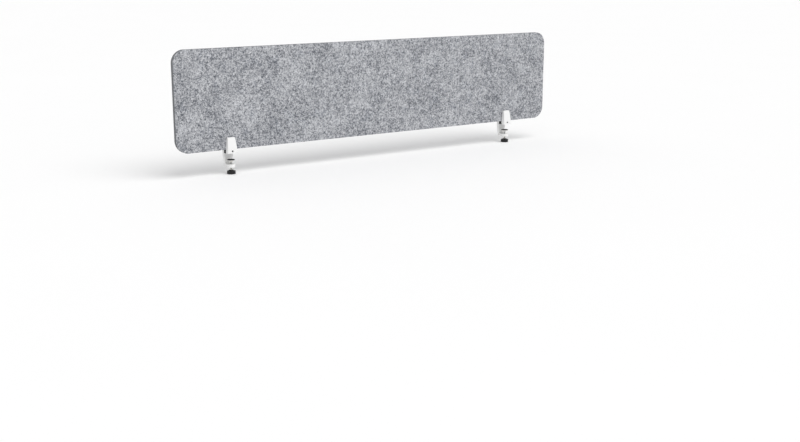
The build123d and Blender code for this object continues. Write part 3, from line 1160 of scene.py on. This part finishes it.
@dataclass
class FootPad(Hardware):
    """The rubber disc on the foot, ringed with shallow grooves."""

    rings: int = 5
    groove_depth: float = 0.45
    groove_width: float = 1.0
    rim: float = 1.0
    first_groove: float = 0.55  # in from the disc's edge, as a share of the pitch
    edge: float = 0.5
    steps: int = 96

    def dress(self, finishes: FinishSet) -> bpy.types.Object:
        """Build the pad.

        Args:
            finishes: The finishes.

        Returns:
            The piece.
        """
        low, high = self.box("pressure_pad")
        outer = (high.x - low.x) / MM / 2
        top = (high.z - low.z) / MM
        profile: list[ProfilePoint] = [(0, 0, 0), (outer, 0, 0.1), (outer, top, self.edge)]
        pitch = (outer - self.rim) / self.rings
        for ring in range(self.rings):
            middle = outer - (ring + self.first_groove) * pitch
            half = self.groove_width / 2
            profile += [(middle + half, top, 0.1), (middle + half / 2, top - self.groove_depth, 0.1),
                        (middle - half / 2, top - self.groove_depth, 0.1), (middle - half, top, 0.1)]
        profile.append((0, top, 0))
        mesh = turned(profile, self.steps)
        self.stand(mesh, "pressure_pad")
        return piece_from(mesh, self.named("ringed_pad"), self.named("foot"), self.named("pressure_pad"),
                          (finishes.by_slot[Slot.RUBBER],))


@dataclass
class Clamp:
    """One clamp: the castings and small parts of the frame, with detailed hardware in them."""

    side: Side
    kept: tuple[tuple[str, Slot], ...] = (
        ("clamp_body", Slot.COAT),
        ("front_jaw", Slot.COAT),
        ("seat_block", Slot.PLASTIC),
        ("desk_pad", Slot.RUBBER),
        ("front_jaw_liner", Slot.RUBBER),
        ("rear_jaw_liner", Slot.RUBBER),
        ("guide_pins", Slot.ZINC),
        ("pressure_plate", Slot.ZINC),
        ("screw_clip", Slot.SPRING),
    )

    def build(self, frame: dict, finishes: FinishSet) -> list[bpy.types.Object]:
        """Dress the kept nodes and build the detailed pieces.

        Args:
            frame: The loaded frame.
            finishes: The finishes.

        Returns:
            The nodes and pieces.
        """
        shown = []
        for part, slot in self.kept:
            node = frame["nodes"][f"{self.side.value}_{part}"]
            for holder in node.material_slots:
                holder.material = finishes.by_slot[slot]
            shown.append(node)
        hardware = (Spindle(self.side), JawBolt(self.side), Knob(self.side), FootPad(self.side))
        return shown + [part.dress(finishes) for part in hardware]


# --- Studio --------------------------------------------------------------------------------
@dataclass
class Studio:
    """Pale floor, soft light and the viewpoint."""

    floor_gap: float = 0.5 * MM
    floor_size: float = 80.0
    sky: float = 0.66
    backdrop: float = 1.0  # how bright the plain background looks
    sun_strength: float = 1.42
    sun_spread: float = 50.0  # degrees
    sun_height: float = 58.0
    sun_bearing: float = 24.0  # degrees from straight in front towards the right
    stand: tuple[float, float, float] = (-2.5006, -3.8769, 0.7365)
    tilt: float = 76.58  # degrees up from straight down
    turn: float = -34.07
    lens: float = 49.93  # millimetres on a 36 mm sensor
    sensor: float = 36.0

    def floor(self, lowest: float) -> bpy.types.Object:
        """Lay the floor under the knobs.

        Args:
            lowest: Height of the object's lowest point.

        Returns:
            The floor.
        """
        mesh = bmesh.new()
        bmesh.ops.create_grid(mesh, x_segments=1, y_segments=1, size=self.floor_size / 2)
        bmesh.ops.translate(mesh, verts=mesh.verts, vec=(0, 0, lowest - self.floor_gap))
        data = bpy.data.meshes.new("studio_floor")
        mesh.to_mesh(data)
        mesh.free()
        data.materials.append(StudioFloor().material())
        floor = bpy.data.objects.new("studio_floor", data)
        bpy.context.scene.collection.objects.link(floor)
        floor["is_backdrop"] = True
        return floor

    def light(self) -> None:
        """Set the even sky, its plain backdrop and one large soft light."""
        world = bpy.data.worlds.new("studio_sky")
        world.use_nodes = True
        tree = world.node_tree
        sky = tree.nodes["Background"]
        sky.inputs["Color"].default_value = WHITE
        sky.inputs["Strength"].default_value = self.sky
        backdrop = tree.nodes.new("ShaderNodeBackground")
        backdrop.inputs["Color"].default_value = WHITE
        backdrop.inputs["Strength"].default_value = self.backdrop
        seen = tree.nodes.new("ShaderNodeLightPath")
        either = tree.nodes.new("ShaderNodeMixShader")
        tree.links.new(seen.outputs["Is Camera Ray"], either.inputs[0])
        tree.links.new(sky.outputs[0], either.inputs[1])
        tree.links.new(backdrop.outputs[0], either.inputs[2])
        tree.links.new(either.outputs[0], tree.nodes["World Output"].inputs["Surface"])
        bpy.context.scene.world = world
        lamp = bpy.data.lights.new("soft_overhead", "SUN")
        lamp.energy = self.sun_strength
        lamp.angle = math.radians(self.sun_spread)
        light = bpy.data.objects.new("soft_overhead", lamp)
        lean = math.radians(90 - self.sun_height)
        light.rotation_euler = Euler((lean, 0.0, math.radians(self.sun_bearing)))
        bpy.context.scene.collection.objects.link(light)

    def camera(self) -> None:
        """Set the camera at the viewpoint."""
        lens = bpy.data.cameras.new("viewpoint")
        lens.lens = self.lens
        lens.sensor_width = self.sensor
        lens.clip_end = 2 * self.floor_size
        camera = bpy.data.objects.new("viewpoint", lens)
        camera.location = self.stand
        camera.rotation_euler = Euler((math.radians(self.tilt), 0.0, math.radians(self.turn)))
        bpy.context.scene.collection.objects.link(camera)
        bpy.context.scene.camera = camera

    def set_up(self, lowest: float) -> None:
        """Set the whole studio.

        Args:
            lowest: Height of the object's lowest point.
        """
        self.floor(lowest)
        self.light()
        self.camera()
        bpy.context.scene.view_settings.view_transform = "Standard"


def corners(bounds: tuple) -> list[list[float]]:
    """A box's two corners as plain lists."""
    return [[float(value) for value in corner] for corner in bounds]


def main() -> None:
    """Build the looks round the frame."""
    logging.basicConfig(level=logging.INFO, format="%(name)s: %(message)s")
    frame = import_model()
    cad_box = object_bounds()
    finishes = FinishSet()
    shown = Panel().build(finishes)
    for side in Side:
        shown += Clamp(side).build(frame, finishes)
    for piece in shown:
        LOG.info("%s: %d faces", piece.name, len(piece.data.polygons))
    Studio().set_up(cad_box[0][2])


if __name__ == "__main__":
    main()
